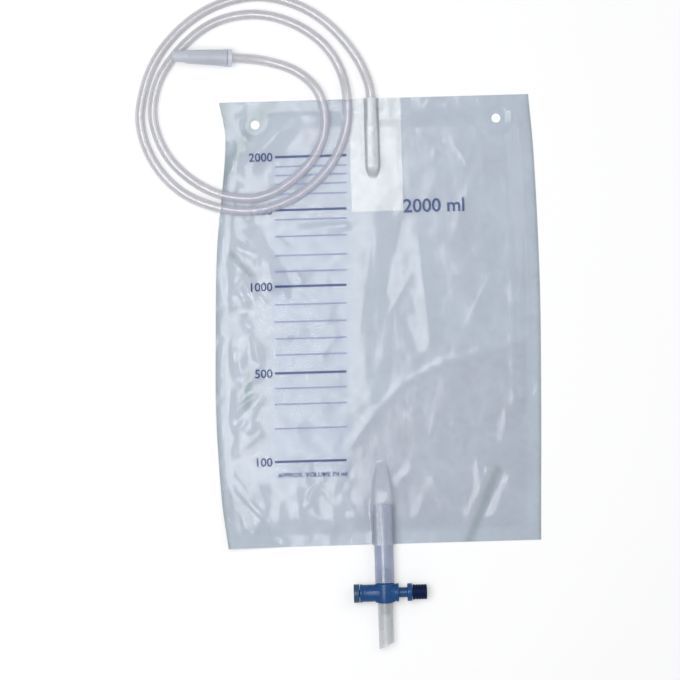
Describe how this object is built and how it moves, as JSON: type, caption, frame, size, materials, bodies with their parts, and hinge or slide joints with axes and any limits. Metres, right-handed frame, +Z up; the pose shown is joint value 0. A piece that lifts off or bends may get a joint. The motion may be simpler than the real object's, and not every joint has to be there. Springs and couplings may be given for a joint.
{
  "type": "urine drainage bag",
  "caption": "Flat rectangular drainage bag lying down, with hanging eyelets, a coiled inlet tube with a capped stepped connector, and a push-pull drain tap with a spout.",
  "frame": {"origin": "on the floor, under the middle of the box round the bag, its tap and its spout", "axes": "+Y from the spout towards the bag's top edge, +Z up off the floor, out of the printed front film; +X to the right, where the tap's knob is"},
  "size_m": [0.2795, 0.4613, 0.0172],
  "materials": {
    "clear_film": "clear soft film, glossy and creased",
    "white_film": "white soft film, glossy",
    "sleeve_film": "milky thin film",
    "clear_tube": "clear soft tube, glossy",
    "milky_plastic": "milky moulded plastic",
    "bluish_tube": "clear bluish soft tube",
    "tap_blue": "moulded blue plastic",
    "tap_navy": "moulded dark blue plastic",
    "seal_rubber": "soft black rubber",
    "grey_tube": "greyish soft tube"
  },
  "bodies": {
    "bag": {"front_film": "clear_film", "back_film": "white_film", "valve_leaf_front": "sleeve_film", "valve_leaf_back": "sleeve_film", "inlet_tube": "clear_tube", "catheter_connector": "milky_plastic", "outlet_tube": "bluish_tube", "tap_body": "tap_blue", "spout_tube": "grey_tube"},
    "tap_plunger": {"tap_spool": "tap_blue", "seal_ring_1": "seal_rubber", "seal_ring_2": "seal_rubber", "seal_ring_3": "seal_rubber", "tap_end_flange": "tap_navy", "tap_knob": "tap_navy"},
    "cap": {"connector_cap": "milky_plastic"}
  },
  "joints": [
    {"name": "tap_slide", "type": "slide", "parent": "bag", "child": "tap_plunger", "axis": [-1, 0, 0], "range_m": [0, 0.0056]},
    {"name": "cap_pull", "type": "slide", "parent": "bag", "child": "cap", "axis": [-0.9839, 0.043, 0.1736], "range_m": [0, 0.04]}
  ]
}
